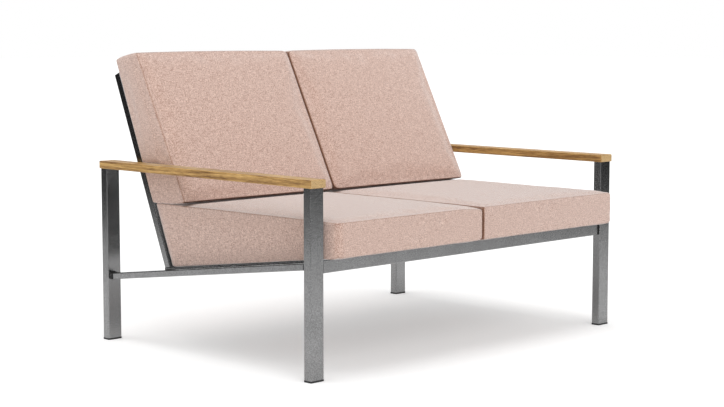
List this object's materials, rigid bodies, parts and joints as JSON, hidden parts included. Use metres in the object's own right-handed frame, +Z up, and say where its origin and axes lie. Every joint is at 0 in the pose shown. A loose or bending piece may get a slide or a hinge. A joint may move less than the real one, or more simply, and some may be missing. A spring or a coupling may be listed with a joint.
{
  "type": "patio loveseat",
  "caption": "Two-seat patio loveseat with a dark powder-coated tube frame, flat teak arm rests and loose blush-pink seat and back cushions.",
  "frame": {"origin": "on the floor under the middle of the whole loveseat", "axes": "+Z up, -Y to the front of the seat, +X to the right of someone who looks at the front"},
  "size_m": [1.373, 1.024, 0.9094],
  "materials": {
    "frame_coating": "gunmetal fine-textured powder coat on aluminium tube, semi-gloss",
    "teak": "oiled teak, straight grain along the arm",
    "cushion_fabric": "blush-pink woven outdoor fabric with a fine heather",
    "glide_plastic": "matt black nylon",
    "black_plastic": "matt black moulded plastic",
    "fastener_steel": "plain stainless steel"
  },
  "bodies": {
    "frame": {"arm_plugs_left": "teak", "arm_plugs_right": "teak", "arm_rest_left": "teak", "arm_rest_right": "teak", "arm_screws_left": "fastener_steel", "arm_screws_right": "fastener_steel", "back_lower_rail": "frame_coating", "back_post_cap_left": "black_plastic", "back_post_cap_right": "black_plastic", "back_post_left": "frame_coating", "back_post_right": "frame_coating", "back_slat_1": "frame_coating", "back_slat_2": "frame_coating", "back_slat_3": "frame_coating", "back_slat_4": "frame_coating", "back_slat_5": "frame_coating", "back_slat_6": "frame_coating", "back_upper_rail": "frame_coating", "foot_glide_front_left": "glide_plastic", "foot_glide_front_right": "glide_plastic", "foot_glide_rear_left": "glide_plastic", "foot_glide_rear_right": "glide_plastic", "front_rail_cap_left": "black_plastic", "front_rail_cap_right": "black_plastic", "leg_front_left": "frame_coating", "leg_front_right": "frame_coating", "leg_rear_left": "frame_coating", "leg_rear_right": "frame_coating", "leg_top_plates_left": "frame_coating", "leg_top_plates_right": "frame_coating", "seat_bolts": "fastener_steel", "seat_centre_rail": "frame_coating", "seat_front_rail": "frame_coating", "seat_rear_rail": "frame_coating", "seat_side_tube_left": "frame_coating", "seat_side_tube_right": "frame_coating", "seat_slat_1": "frame_coating", "seat_slat_2": "frame_coating", "seat_slat_3": "frame_coating", "seat_slat_4": "frame_coating", "seat_slat_5": "frame_coating", "seat_slat_6": "frame_coating", "seat_spacers": "frame_coating", "seat_tube_caps": "black_plastic", "seat_weld_nuts": "fastener_steel", "side_stretcher_left": "frame_coating", "side_stretcher_right": "frame_coating", "stretcher_end_blocks_left": "black_plastic", "stretcher_end_blocks_right": "black_plastic", "stretcher_end_plates_left": "frame_coating", "stretcher_end_plates_right": "frame_coating", "stretcher_studs": "fastener_steel"},
    "seat_pad_left": {"seat_cushion_left": "cushion_fabric"},
    "seat_pad_right": {"seat_cushion_right": "cushion_fabric"},
    "back_pad_left": {"back_cushion_left": "cushion_fabric"},
    "back_pad_right": {"back_cushion_right": "cushion_fabric"}
  },
  "joints": [
    {"name": "seat_cushion_lift_left", "type": "slide", "parent": "frame", "child": "seat_pad_left", "axis": [0, 0, 1], "range_m": [0, 0.33]},
    {"name": "back_cushion_lift_left", "type": "slide", "parent": "seat_pad_left", "child": "back_pad_left", "axis": [0, 0, 1], "range_m": [0, 0.13]},
    {"name": "seat_cushion_lift_right", "type": "slide", "parent": "frame", "child": "seat_pad_right", "axis": [0, 0, 1], "range_m": [0, 0.33]},
    {"name": "back_cushion_lift_right", "type": "slide", "parent": "seat_pad_right", "child": "back_pad_right", "axis": [0, 0, 1], "range_m": [0, 0.13]}
  ]
}
